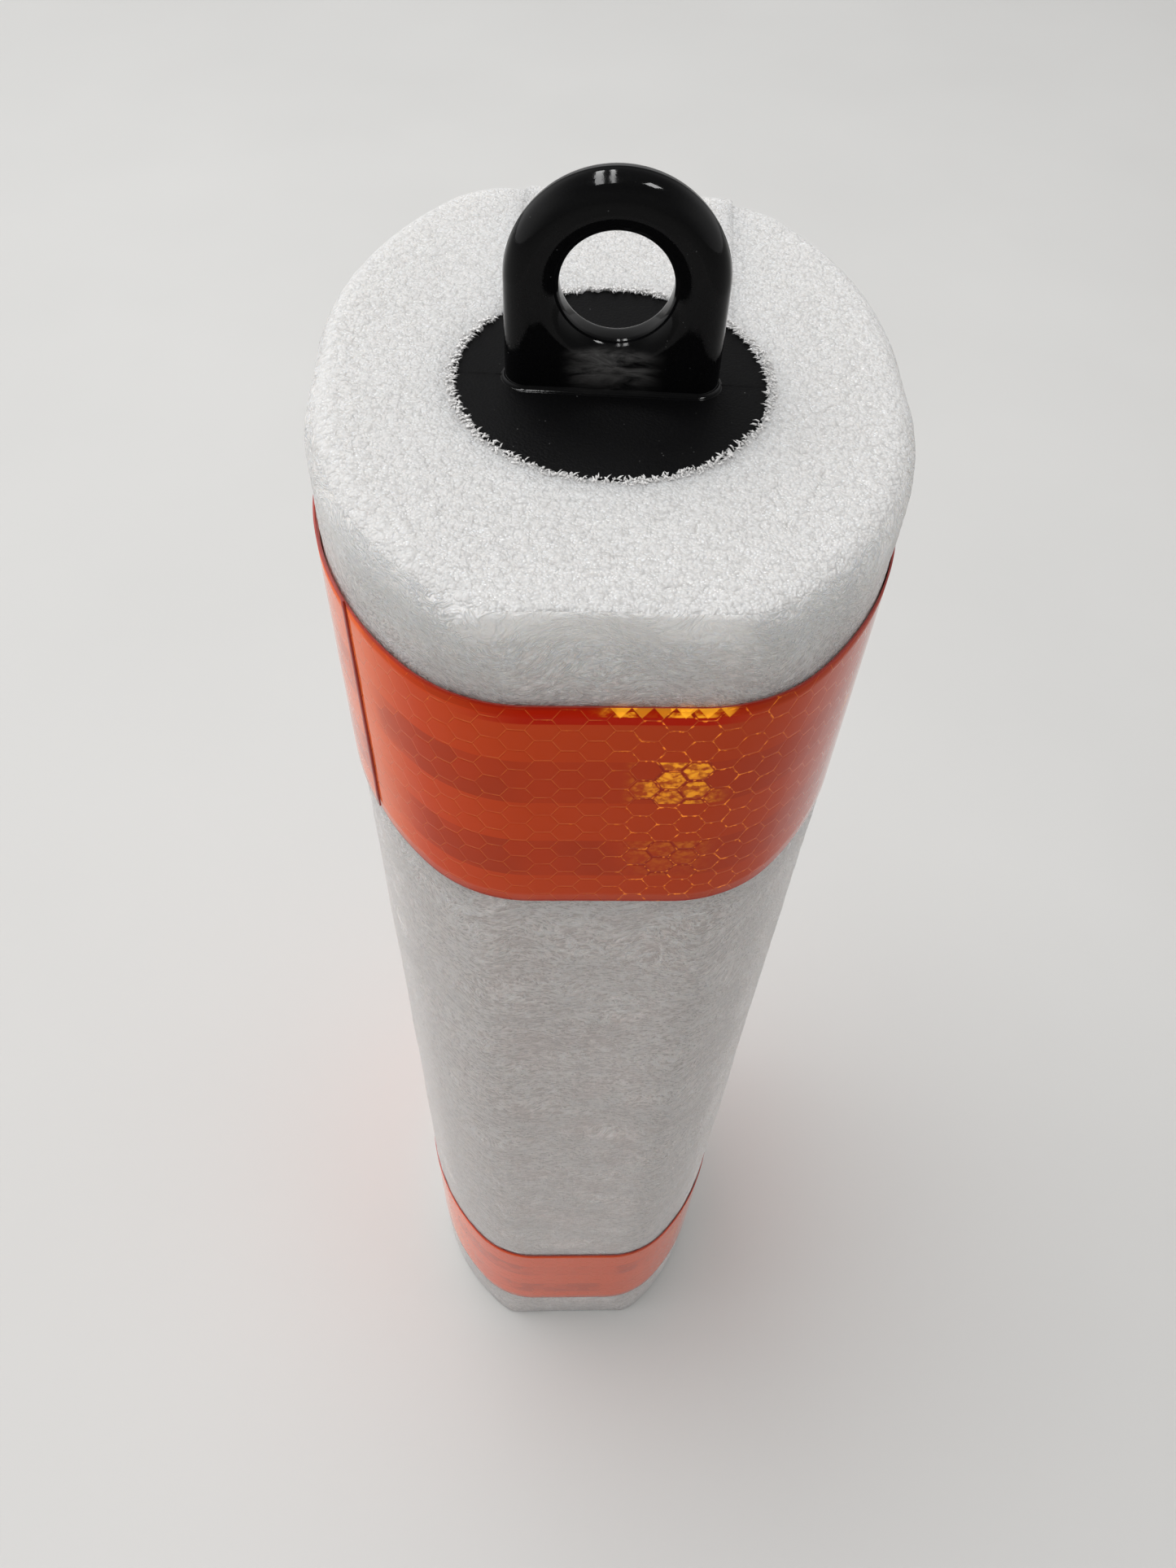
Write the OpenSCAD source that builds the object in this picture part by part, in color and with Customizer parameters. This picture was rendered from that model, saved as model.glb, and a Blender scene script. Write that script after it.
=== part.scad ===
// Marker post: a foam sleeve over a plastic tube, with a hanging eye plugged into
// the top, a flat plug in the foot and two wrapped bands of reflective tape.
// Millimetres, +Z up. The origin is on the tube's axis at the foot.
// X runs along the plane of the eye, and the flat front of the sleeve faces -Y.

/* [Foam sleeve] */
// Height of the sleeve, from the foot to the cut top
sleeve_h = 350; // [250:10:1000]
// Width across the two sides
sleeve_w = 90; // [86:1:94]
// Distance from the tube's axis to the flat front
front_depth = 49; // [46:0.5:50]
// Distance from the tube's axis to the back lips
lip_reach = 56; // [54:0.5:58]
// Radius of the long curve from each side round to the front
shoulder_r = 55; // [50:1:60]
// Radius of the long curve from each side round to the back
flank_r = 63; // [60:1:70]
// Radius of the two lips beside the open back
lip_r = 15; // [12:1:18]
// Radius of the soft ridge at each end of the flat front
ridge_r = 3; // [2:0.5:5]
// How much farther back the left lip reaches than the right one
lip_skew = 4; // [0:0.5:5]
// Turn of the sleeve on the tube, in degrees
sleeve_turn = 3; // [-10:1:10]

/* [Foam key] */
// Width of the strip that closes the open back
key_w = 36; // [30:1:38]
// Distance from the tube's axis to the strip's outer face
key_reach = 57.5; // [56.5:0.5:59]
// Turn of the open back from straight behind, in degrees
key_turn = -5; // [-8:1:0]

/* [Core tube] */
// Outside diameter of the tube
tube_d = 48; // [44:1:50]
// Wall thickness of the tube
tube_wall = 3; // [2:0.5:4]

/* [Plugs] */
// Thickness of each plug's flange
flange_t = 3; // [2:0.5:5]
// Depth of the top flange below the sleeve's cut top
flange_recess = 0.5; // [0:0.1:2]
// Length of each plug's spigot inside the tube
spigot_l = 24; // [15:1:40]
// Wall thickness of each spigot
spigot_wall = 2.5; // [2:0.5:3]
// Gap between a spigot and the tube, which the ribs close
spigot_gap = 0.4; // [0.2:0.1:0.8]
// Number of grip ribs round each spigot
rib_count = 4; // [2:1:6]

/* [Eye] */
// Diameter of the hole in the eye
eye_hole_d = 16; // [12:0.5:18]
// Width of the eye, from side to side
eye_w = 31.5; // [29:0.5:34]
// Thickness of the eye
eye_t = 7; // [6:0.5:7.5]
// Height of the hole's centre above the flange
eye_rise = 15.5; // [15:0.5:25]
// Height of the small foot that blends the eye into the flange
eye_foot = 0.6; // [0.4:0.1:1]

/* [Tape] */
// Width of each tape
tape_w = 50; // [25:5:75]
// Thickness of each tape
tape_t = 0.4; // [0.3:0.1:0.8]
// Distance from the sleeve's cut top to the upper tape
upper_margin = 17; // [10:1:60]
// Distance from the foot to the lower tape
lower_margin = 21; // [10:1:60]
// Length over which a tape's end laps its start
tape_lap = 24; // [12:1:26]

/* [Hidden] */
step = 4;                              // angle between points on an arc
round_fn = 96;                         // facets round the tube and the hole
edge_fn = 48;                          // facets round the eye's edges
side = sleeve_w / 2;
side_low = -3;                         // each side is straight from here
side_high = 9;                         // to here
bore_r = tube_d / 2;
tube_r = bore_r - tube_wall;
flange_z = sleeve_h - flange_recess;   // top of the top flange
tube_z = flange_t;
tube_l = flange_z - 2 * flange_t;
rib_h = 1.6;
rib_rise = rib_h / 4;                  // drop from a rib's root to its crest
rib_root = 0.5;                        // depth of a rib's root in the wall
rib_pitch = 4.5;
rib_start = 5;
lead_in = 1.2;
eye_r = eye_w / 2;
edge_r = eye_t / 2;                    // the eye's edges are full rounds
land_inset = 0.15;                     // how far the flared mouth is cut back
mouth_r = eye_hole_d / 2 + edge_r - land_inset;
upper_z = sleeve_h - upper_margin - tape_w;
lower_z = lower_margin;
seam_angle = 209;                      // outer end of the upper tape
rear_seam_angle = 4;                   // outer end of the lower tape
key_edge_r = 1;

foam_white = [0.93, 0.93, 0.92];
strip_white = [0.88, 0.89, 0.88];
tape_orange = [0.87, 0.30, 0.12];
plug_black = [0.06, 0.06, 0.065];
tube_grey = [0.62, 0.64, 0.66];

// A circle [x, y, r] of an outline that lies inside a bigger one and touches it,
// with its centre at height y. The side is +1 for the right and -1 for the left.
function inside_touch(big, r, y, s) =
    [big.x + s * sqrt((big.z - r) ^ 2 - (y - big.y) ^ 2), y, r];

// Direction in which the belt round two circles a and b leaves a, going
// anticlockwise
function belt(a, b) =
    let (d = [b.x - a.x, b.y - a.y],
         ratio = max(-1, min(1, (a.z - b.z) / norm(d))))
    atan2(d.y, d.x) - acos(ratio);

function turned(p, angle) =
    [p.x * cos(angle) - p.y * sin(angle), p.x * sin(angle) + p.y * cos(angle)];

// Points of one arc of an outline, from direction a0 round to a1, grown by g
function arc(c, a0, a1, g) =
    let (span = a1 - a0 < 0 ? a1 - a0 + 360 : a1 - a0,
         n = max(1, ceil(span / step)))
    [for (i = [0:n]) let (a = a0 + span * i / n)
        [c.x + (c.z + g) * cos(a), c.y + (c.z + g) * sin(a)]];

// Outline that a belt makes round a ring of circles, grown by g
function belt_outline(ring, g) =
    let (n = len(ring))
    [for (i = [0:n - 1])
        each arc(ring[i], belt(ring[(i + n - 1) % n], ring[i]),
                 belt(ring[i], ring[(i + 1) % n]), g)];

// The sleeve's circles, mirrored for the left side
right_shoulder = [side - shoulder_r, side_low, shoulder_r];
left_shoulder = [shoulder_r - side, side_low, shoulder_r];
right_flank = [side - flank_r, side_high, flank_r];
left_flank = [flank_r - side, side_high, flank_r];
ridge_y = ridge_r - front_depth;
right_ridge = inside_touch(right_shoulder, ridge_r, ridge_y, 1);
left_ridge = inside_touch(left_shoulder, ridge_r, ridge_y, -1);
lip_y = lip_reach - lip_r;
right_lip = inside_touch(right_flank, lip_r, lip_y - lip_skew / 2, 1);
left_lip = inside_touch(left_flank, lip_r, lip_y + lip_skew / 2, -1);

// The two outer corners of the key, as small circles
function key_corner(s) =
    let (p = turned([s * (key_w / 2 - key_edge_r), key_reach - key_edge_r], key_turn))
    [p.x, p.y, key_edge_r];

sleeve_ring = [left_ridge, right_ridge, right_shoulder, right_flank, right_lip,
               left_lip, left_flank, left_shoulder];
wrap_ring = [left_ridge, right_ridge, right_shoulder, right_flank, right_lip,
             key_corner(1), key_corner(-1), left_lip, left_flank, left_shoulder];

// Strip that runs straight back from the tube and makes the sleeve's opening
module back_strip() {
    rotate(key_turn) translate([-key_w / 2, 0]) square([key_w, 2 * side]);
}

module foam_sleeve() {
    color(foam_white) rotate(sleeve_turn) linear_extrude(sleeve_h) difference() {
        polygon(belt_outline(sleeve_ring, 0));
        circle(r = bore_r, $fn = round_fn);
        back_strip();
    }
}

module foam_key() {
    color(strip_white) rotate(sleeve_turn) linear_extrude(sleeve_h) difference() {
        intersection() {
            rotate(key_turn) translate([-key_w / 2, 0]) square([key_w, key_reach]);
            polygon(belt_outline(wrap_ring, 0));
        }
        circle(r = bore_r, $fn = round_fn);
    }
}

module core_tube() {
    color(tube_grey) translate([0, 0, tube_z]) rotate_extrude($fn = round_fn)
        translate([tube_r, 0]) square([tube_wall, tube_l]);
}

// Round plug with its flange on top at z = 0 and its hollow spigot below, which
// carries ring ribs that fill the tube's bore
module tube_plug() {
    spigot_r = tube_r - spigot_gap;
    bottom = -flange_t - spigot_l;
    rotate_extrude($fn = round_fn) union() {
        polygon([[0, 0], [bore_r, 0], [bore_r, -flange_t], [spigot_r, -flange_t],
                 [spigot_r, bottom + lead_in], [spigot_r - lead_in, bottom],
                 [spigot_r - spigot_wall, bottom], [spigot_r - spigot_wall, -flange_t],
                 [0, -flange_t]]);
        for (i = [0:rib_count - 1])
            translate([0, -flange_t - rib_start - i * rib_pitch])
                polygon([[spigot_r - rib_root, 0], [spigot_r, 0], [tube_r, -rib_rise],
                         [spigot_r, -rib_h], [spigot_r - rib_root, -rib_h]]);
    }
}

// Cross-section of the eye's ring: flat faces with a full round outside and a
// flared mouth inside that ends on the straight wall of the hole
module ring_section() {
    hole_r = eye_hole_d / 2;
    difference() {
        union() {
            translate([eye_r - edge_r, 0]) circle(r = edge_r, $fn = edge_fn);
            translate([mouth_r, 0]) circle(r = edge_r, $fn = edge_fn);
            translate([mouth_r, -edge_r]) square([eye_r - edge_r - mouth_r, eye_t]);
        }
        translate([hole_r - edge_r, -edge_r]) square([edge_r, eye_t]);
    }
}

// Upright plate below the hole's centre, with round side edges, standing on a
// thin foot
module eye_web() {
    straight = eye_w - eye_t;
    difference() {
        union() {
            translate([-straight / 2, -edge_r, 0]) cube([straight, eye_t, eye_rise]);
            for (s = [-1, 1])
                translate([s * straight / 2, 0, 0])
                    cylinder(r = edge_r, h = eye_rise, $fn = edge_fn);
        }
        translate([0, 0, eye_rise]) rotate([90, 0, 0])
            cylinder(r = mouth_r, h = 2 * eye_t, center = true, $fn = round_fn);
    }
    translate([-straight / 2, -edge_r - eye_foot, 0])
        cube([straight, eye_t + 2 * eye_foot, eye_foot]);
    for (s = [-1, 1])
        translate([s * straight / 2, 0, 0])
            cylinder(r = edge_r + eye_foot, h = eye_foot, $fn = edge_fn);
}

module eye_plug() {
    color(plug_black) translate([0, 0, flange_z]) {
        tube_plug();
        eye_web();
        translate([0, 0, eye_rise]) rotate([90, 0, 0])
            rotate_extrude($fn = round_fn) ring_section();
    }
}

module base_plug() {
    color(plug_black) mirror([0, 0, 1]) tube_plug();
}

// One strip of tape wound once round the sleeve and the key. Its outer end laps
// the start over a round stretch of the outline about the circle at c.
module tape_band(c, seam) {
    lap_r = c.z + tape_t;
    span = tape_lap / lap_r * 180 / PI;
    linear_extrude(tape_w) difference() {
        polygon(belt_outline(wrap_ring, tape_t));
        polygon(belt_outline(wrap_ring, 0));
    }
    translate([c.x, c.y, 0]) rotate(seam - span) rotate_extrude(angle = span, $fn = round_fn)
        translate([lap_r - tape_t / 2, 0]) square([1.5 * tape_t, tape_w]);
}

module upper_band() {
    color(tape_orange) rotate(sleeve_turn) translate([0, 0, upper_z])
        tape_band(left_shoulder, seam_angle);
}

module lower_band() {
    span = tape_lap / (flank_r + tape_t) * 180 / PI;
    color(tape_orange) rotate(sleeve_turn) translate([0, 0, lower_z])
        tape_band(right_flank, rear_seam_angle + span);
}

foam_sleeve();
foam_key();
core_tube();
eye_plug();
base_plug();
upper_band();
lower_band();
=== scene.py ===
import math
import random
from bisect import bisect_right

import bmesh
import bpy
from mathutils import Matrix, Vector, noise


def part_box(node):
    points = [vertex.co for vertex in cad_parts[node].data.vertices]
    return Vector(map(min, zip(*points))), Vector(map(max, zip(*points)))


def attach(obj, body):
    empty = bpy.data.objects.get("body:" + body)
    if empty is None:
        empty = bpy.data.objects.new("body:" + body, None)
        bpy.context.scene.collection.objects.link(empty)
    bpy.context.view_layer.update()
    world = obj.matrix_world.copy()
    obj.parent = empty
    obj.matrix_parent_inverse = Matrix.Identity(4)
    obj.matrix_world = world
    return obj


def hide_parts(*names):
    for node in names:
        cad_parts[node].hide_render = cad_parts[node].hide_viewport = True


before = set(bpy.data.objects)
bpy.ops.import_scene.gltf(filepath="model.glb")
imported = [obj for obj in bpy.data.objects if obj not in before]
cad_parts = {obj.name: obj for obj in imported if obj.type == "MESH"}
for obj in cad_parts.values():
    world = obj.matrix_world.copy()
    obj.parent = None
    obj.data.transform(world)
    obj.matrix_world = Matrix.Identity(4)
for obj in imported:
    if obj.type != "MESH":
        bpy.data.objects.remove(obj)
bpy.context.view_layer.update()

scene = bpy.context.scene
scene.view_settings.view_transform = "Standard"

# ---- Camera ------------------------------------------------------------------
# Held close above the front of the post, looking steeply down along it to the
# floor that it stands on.
camera_data = bpy.data.cameras.new("camera")
camera_data.lens = 27.46
camera_data.sensor_width = 36
camera_data.clip_start = 0.01
camera_data.clip_end = 30
camera = bpy.data.objects.new("camera", camera_data)
camera.location = (-0.0016, -0.1541, 0.4553)
camera.rotation_euler = [math.radians(turn) for turn in (36.77, -1.89, 2.0)]
scene.collection.objects.link(camera)
scene.camera = camera

# ---- Foam sleeve -------------------------------------------------------------
# A length of extruded white polyethylene foam, slit open at the back and slipped
# over the tube. Its sides keep the wrinkled skin of the extrusion, and its two
# ends are sawn, so they show open bubbles and a fuzzy rim round the bore.
MM = 0.001
FOAM_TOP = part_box("foam_sleeve")[1].z
BORE = 24 * MM
SLEEVE_TURN = math.radians(3)
KEY_TURN = math.radians(-5)
KEY_HALF = 18 * MM
KEY_FACE = 57.5 * MM
BANDS = {"upper_band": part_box("upper_band"), "lower_band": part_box("lower_band")}


class Wire:
    """A value in a material's node tree. Sums on it add Math nodes."""

    def __init__(self, tree, socket=None):
        self.tree = tree
        self.socket = socket

    def node(self, kind, settings, sockets, out=0):
        """Adds a node: its settings first, then values or wires for its sockets."""
        made = self.tree.nodes.new("ShaderNode" + kind)
        for name, value in settings.items():
            setattr(made, name, value)
        for name, value in sockets.items():
            if isinstance(value, Wire):
                self.tree.links.new(value.socket, made.inputs[name])
            else:
                made.inputs[name].default_value = value
        return Wire(self.tree, made.outputs[out])

    def math(self, operation, a, b=0.0):
        return self.node("Math", {"operation": operation}, {0: a, 1: b})

    def __add__(self, other):
        return self.math("ADD", self, other)

    def __radd__(self, other):
        return self.math("ADD", other, self)

    def __sub__(self, other):
        return self.math("SUBTRACT", self, other)

    def __rsub__(self, other):
        return self.math("SUBTRACT", other, self)

    def __mul__(self, other):
        return self.math("MULTIPLY", self, other)

    def __mod__(self, other):
        return self.math("FLOORED_MODULO", self, other)

    def __abs__(self):
        return self.math("ABSOLUTE", self)

    def least(self, other):
        return self.math("MINIMUM", self, other)

    def most(self, other):
        return self.math("MAXIMUM", self, other)

    def below(self, other):
        return self.math("LESS_THAN", self, other)

    def fade(self, low, high, start=0.0, end=1.0):
        """Runs smoothly from start to end as the value goes from low to high."""
        return self.node("MapRange", {"interpolation_type": "SMOOTHSTEP"},
                         {"Value": self, "From Min": low, "From Max": high,
                          "To Min": start, "To Max": end})

    def scaled(self, x, y, z):
        return self.node("VectorMath", {"operation": "MULTIPLY"}, {0: self, 1: (x, y, z)})

    def noise(self, scale, detail=2.0, distortion=0.0, rough=0.5):
        return self.node("TexNoise", {}, {"Vector": self, "Scale": scale, "Detail": detail,
                                          "Distortion": distortion, "Roughness": rough})

    def bubbles(self, scale, out=0):
        """Distance to the nearest bubble's middle, or with out=1 a colour for each."""
        return self.node("TexVoronoi", {"feature": "F1"}, {"Vector": self, "Scale": scale}, out)

    def tint(self, plain, tinted):
        """A colour that goes from plain to tinted as this value goes from 0 to 1."""
        return self.node("Mix", {"data_type": "RGBA"}, {0: self, 6: plain, 7: tinted}, 2)

    def bump(self, depth):
        """A normal from this height, where 1 stands depth metres proud."""
        return self.node("Bump", {}, {"Height": self, "Distance": depth, "Strength": 1.0})

    def place(self):
        """Where a point of the piece is, in metres."""
        return self.node("TexCoord", {}, {}, 3)

    def parts(self):
        """The x, y and z of this place or direction."""
        split = self.node("SeparateXYZ", {}, {0: self})
        return [Wire(self.tree, socket) for socket in split.socket.node.outputs]

    def warped(self, drift, reach):
        """This place, moved by a drifting value times a reach in x, y and z."""
        return self.node("VectorMath", {"operation": "MULTIPLY_ADD"}, {0: drift, 1: reach, 2: self})


def finish_of(name, **constant):
    """A new material: its start for wires, and its shader with the constant values."""
    material = bpy.data.materials.new(name)
    material.use_nodes = True
    shader = material.node_tree.nodes["Principled BSDF"]
    for socket, value in constant.items():
        shader.inputs[socket.replace("_", " ")].default_value = value
    return material, Wire(material.node_tree), shader


def feed(start, shader, **wires):
    """Links wires to the shader's sockets."""
    for socket, wire in wires.items():
        start.tree.links.new(wire.socket, shader.inputs[socket.replace("_", " ")])


def rgb(red, green, blue):
    return (red, green, blue, 1)


def skin_finish():
    """Closed skin of the extrusion: dull, slightly see-through, finely wrinkled."""
    material, start, shader = finish_of(
        "foam_skin", Subsurface_Weight=0.6, Subsurface_Radius=(0.013, 0.012, 0.011),
        Subsurface_Scale=1.0, Specular_IOR_Level=0.5, Sheen_Weight=0.16, Sheen_Roughness=0.35)
    place = start.place()
    drift = place.noise(60, 1)
    flow = place.warped(drift, (0.004, 0.004, 0.014))
    folds = (1 - abs(flow.scaled(250, 250, 560).noise(1, 2, 1.4) - 0.5) * 12).most(0.0)
    fine = (1 - abs(flow.scaled(520, 520, 1150).noise(1, 2, 0.8) - 0.5) * 8).most(0.0)
    ripples = flow.scaled(120, 120, 260).noise(1, 2, 0.5)
    sides, depth, top = place.parts()
    # the folds run deepest along the two front ridges, and calm down at the flat's rim
    ridge = abs(abs(sides) - 27 * MM).fade(11 * MM, 5 * MM) * depth.fade(-24 * MM, -32 * MM)
    wild = place.noise(90, 2).fade(0.30, 0.55, 0.5, 1.0).most(ridge)
    facet = top.fade(FOAM_TOP - 7 * MM, FOAM_TOP - 4 * MM) * depth.fade(-34 * MM, -40 * MM)
    facet = (1 - facet * 0.65).most(ridge)
    height = (folds + fine * 0.6) * wild * facet + ripples * 1.6 + place.noise(2600, 1) * 0.12
    # painted shade: the valleys between the folds are darker along the front ridges, calming near the top
    fold_valley_shade = ridge * (1 - folds.most(fine)) * top.fade(FOAM_TOP - 1.5 * MM, FOAM_TOP - 9 * MM) * 0.12
    height = height * (1 + ridge)
    # painted light: paler near the top, on the flanks and at the foot, standing in for the light that
    # soaks in there
    crest = top.fade(FOAM_TOP - 19 * MM, FOAM_TOP - 3 * MM) * depth.fade(-16 * MM, -32 * MM, 0.30, 1.0)
    flanks = abs(sides).fade(20 * MM, 40 * MM, 0.0, 1.0) * top.below(BANDS["upper_band"][0].z)
    # painted highlights: the folds' crests are whiter, over random lighter and darker tone
    shade = (folds * (1.15 + ridge * 0.5) + fine * 0.8) * wild * facet + place.noise(45, 2) * 0.28
    pale = (crest + flanks + top.fade(200 * MM, 60 * MM) * 0.35).least(1.0)
    # painted light: light that comes through the tapes warms the foam's colour beside them
    warm = top.fade(FOAM_TOP - 3 * MM, BANDS["upper_band"][1].z)
    for low, high in BANDS.values():
        warm = warm.most(abs(top - low.z).fade(30 * MM, 2 * MM) * 0.7)
    warm = warm * top.below(FOAM_TOP)
    plain = shade.tint(pale.tint(rgb(0.53, 0.505, 0.485), rgb(0.85, 0.83, 0.81)), rgb(0.99, 0.97, 0.95))
    tinted = shade.tint(pale.tint(rgb(0.53, 0.47, 0.445), rgb(0.85, 0.785, 0.76)), rgb(0.99, 0.90, 0.87))
    feed(start, shader,
         Base_Color=fold_valley_shade.tint(warm.tint(plain, tinted), rgb(0.38, 0.37, 0.36)),
         Roughness=folds.fade(0.2, 1.0, 0.50, 0.28),
         Normal=height.bump(0.85 * MM))
    return material


def cut_finish():
    """Sawn bubbles: a bright matt ground with small shiny walls that catch the light, their glints
    painted white too.
    """
    material, start, shader = finish_of(
        "foam_cut", Subsurface_Weight=0.45, Subsurface_Radius=(0.013, 0.012, 0.011),
        Subsurface_Scale=1.0, Specular_IOR_Level=0.5)
    place = start.place()
    drift = place.noise(500, 1)
    sawn = place.warped(drift, (0.0008, 0.0008, 0.0008))
    wall = sawn.bubbles(1000)
    small = sawn.bubbles(2100)
    cell = sawn.bubbles(1000, out=1)
    # painted highlights: glinting bubble walls are white in colour as well as smooth
    glint = small.fade(0.34, 0.20) * cell.node("SeparateColor", {}, {0: cell}).fade(0.54, 0.62)
    height = wall * 0.6 + small * 0.6 + place.noise(260, 2) * 0.5
    shade = wall.fade(0.40, 0.78) * 0.50 + small.fade(0.40, 0.7) * 0.35 + place.noise(40, 3) * 0.15
    feed(start, shader,
         Base_Color=glint.tint(shade.tint(rgb(0.78, 0.77, 0.76), rgb(0.60, 0.59, 0.58)),
                               rgb(1.0, 1.0, 1.0)),
         Roughness=glint.fade(0.0, 1.0, 0.5, 0.10),
         Normal=height.bump(0.50 * MM))
    return material


def frayed_finish():
    """Torn threads of foam, too thin to look through: bright white and matt."""
    material, start, shader = finish_of("foam_frayed", Specular_IOR_Level=0.3)
    place = start.place()
    grain = place.noise(1500, 2)
    feed(start, shader,
         Base_Color=grain.tint(rgb(0.80, 0.79, 0.78), rgb(0.96, 0.95, 0.94)),
         Roughness=grain.fade(0.2, 0.8, 0.5, 0.7))
    return material


skin = skin_finish()
cut = cut_finish()
frayed = frayed_finish()


def touching(big, radius, y, side):
    """A circle inside a bigger one and touching it, with its centre at height y."""
    reach = math.sqrt((big[2] - radius) ** 2 - (y - big[1]) ** 2)
    return (big[0] + side * reach, y, radius)


def leaving(a, b):
    """Direction in which a belt round circles a and b leaves a, anticlockwise."""
    across, up = b[0] - a[0], b[1] - a[1]
    ratio = max(-1, min(1, (a[2] - b[2]) / math.hypot(across, up)))
    return math.atan2(up, across) - math.acos(ratio)


def belt(ring, spacing, turn_step=math.radians(7)):
    """Line of a belt round a ring of circles: a list of (x, y, direction it faces)."""
    line = []
    for before, circle, after in zip(ring[-1:] + ring[:-1], ring, ring[1:] + ring[:1]):
        first = leaving(before, circle)
        span = (leaving(circle, after) - first) % math.tau
        parts = max(1, math.ceil(max(span / turn_step, span * circle[2] / spacing)))
        for part in range(parts + 1):
            facing = first + span * part / parts
            line.append((circle[0] + circle[2] * math.cos(facing),
                         circle[1] + circle[2] * math.sin(facing), facing))
    full = []
    for here, there in zip(line, line[1:] + line[:1]):
        full.append(here)
        gap = math.dist(here[:2], there[:2])
        if gap > 1.6 * spacing:
            parts = math.ceil(gap / spacing)
            for part in range(1, parts):
                full.append((here[0] + (there[0] - here[0]) * part / parts,
                             here[1] + (there[1] - here[1]) * part / parts, here[2]))
    return [p for i, p in enumerate(full) if math.dist(p[:2], full[i - 1][:2]) > 0.05 * MM]


def turned(x, y, angle):
    """A point turned anticlockwise round the post's middle line."""
    return (x * math.cos(angle) - y * math.sin(angle),
            x * math.sin(angle) + y * math.cos(angle))


def held(share):
    """The share, kept from 0 to 1."""
    return min(1.0, max(0.0, share))


def eased(share):
    """The share, kept from 0 to 1 and soft at both ends."""
    share = held(share)
    return share * share * (3 - 2 * share)


# Circles as (x, y, radius). A belt round them is the foam's outline from above, and
# the squeezed pair takes the ridges' place where a tape pulls them in.
SHOULDER = [(side * 10 * MM, -3 * MM, 55 * MM) for side in (-1, 1)]
FLANK = [(side * 18 * MM, 9 * MM, 63 * MM) for side in (-1, 1)]
RIDGES = [touching(SHOULDER[1], 9 * MM, -40 * MM, -1), touching(SHOULDER[0], 9 * MM, -40 * MM, 1)]
SQUEEZED = [touching(SHOULDER[1], 24 * MM, -25 * MM, -1), touching(SHOULDER[0], 24 * MM, -25 * MM, 1)]
RIGHT_LIP = touching(FLANK[0], 15 * MM, 39 * MM, 1)
LEFT_LIP = touching(FLANK[1], 15 * MM, 43 * MM, -1)
KEY_CORNERS = [(*turned(side * (KEY_HALF - MM), KEY_FACE - MM, KEY_TURN), MM) for side in (1, -1)]
sleeve_ring = [*RIDGES, SHOULDER[0], FLANK[0], RIGHT_LIP, LEFT_LIP, FLANK[1], SHOULDER[1]]
wrap_ring = [*SQUEEZED, SHOULDER[0], FLANK[0], RIGHT_LIP, *KEY_CORNERS, LEFT_LIP, FLANK[1], SHOULDER[1]]


def spread(low, high, spacing):
    """Evenly spaced values from low to just before high."""
    parts = max(1, round((high - low) / spacing))
    return [low + (high - low) * part / parts for part in range(parts)]


# the highest row of the straight side; the worn top edge starts above it
LAST_ROW = FOAM_TOP - 4.9 * MM


def skin_rows():
    """Heights of the rows up a foam side: close at the top, sparse under a tape."""
    upper, lower = BANDS["upper_band"], BANDS["lower_band"]
    return (spread(0.9 * MM, lower[0].z, 1.3 * MM) + spread(lower[0].z, lower[1].z, 5 * MM)
            + spread(lower[1].z, upper[0].z, 1.35 * MM) + spread(upper[0].z, upper[1].z, 5 * MM)
            + spread(upper[1].z, LAST_ROW, 0.5 * MM) + [LAST_ROW])


# the tapes sag a little, so they press the foam this far below their edge too
TAPE_SAG = 0.6 * MM


def pressed(z, soft):
    """1 under a tape, falling to 0 over a soft distance past its edges."""
    hold = 0.0
    for low, high in BANDS.values():
        outside = max(low.z - TAPE_SAG - z, z - high.z, 0.0)
        hold = max(hold, eased(1 - outside / soft))
    return hold


def squeeze(x, y):
    """How far a tape pulls that point of the sleeve's line in."""
    away = math.atan2(y, x)
    near = min(tight_wrap, key=lambda p: abs((p[0] - away + math.pi) % math.tau - math.pi))
    return max(0.0, math.hypot(x, y) - near[1])


def creased(point, across, along):
    """Ridged folds, longer across than along the extrusion, from 0 to 1."""
    drift = noise.noise(point * 70) * 0.9
    folds = noise.noise(Vector((point.x * across, point.y * across, point.z * along + drift)))
    return 1 - min(1.0, abs(folds) * 3.2)


def skin_height(point, fullness, corner):
    """How far the skin stands proud of the foam's outline, in metres."""
    hold = pressed(point.z, 0.8 * MM)
    soft = noise.noise(point * 32) * 0.28 + noise.noise(point * 85) * 0.13
    folds = creased(point, 150, 420) * 0.20 + creased(point + Vector((3, 1, 2)), 300, 900) * 0.10
    free = soft + folds * (0.5 + 1.4 * corner) * (0.35 + 0.65 * fullness)
    return (free * (1 - hold) - 0.04 * hold - 0.12) * MM


def cut_height(point):
    """How far a sawn end stands proud, from open bubbles and the saw's wander."""
    nearest = noise.voronoi(point * 620)[0][0]
    return ((nearest - 0.45) * 0.16 + noise.noise(point * 95) * 0.20
            + noise.noise(point * 300) * 0.08) * MM


# places of the finishes in a foam piece's list
SKIN, SAWN, FRAYED = range(3)


def loft(name, columns, finishes):
    """A closed piece from columns, which are loops of (point, finish number)."""
    mesh = bmesh.new()
    grid = [[mesh.verts.new(point) for point, _ in column] for column in columns]
    size = len(grid[0])
    for left, right, column in zip(grid, grid[1:], columns):
        for row in range(size):
            after = (row + 1) % size
            face = mesh.faces.new((left[row], right[row], right[after], left[after]))
            face.material_index = column[row][1]
            face.smooth = True
    for loop in (grid[0], grid[-1][::-1]):
        mesh.faces.new(loop).material_index = SAWN
    bmesh.ops.recalc_face_normals(mesh, faces=mesh.faces)
    return placed(name, mesh, finishes)


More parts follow.
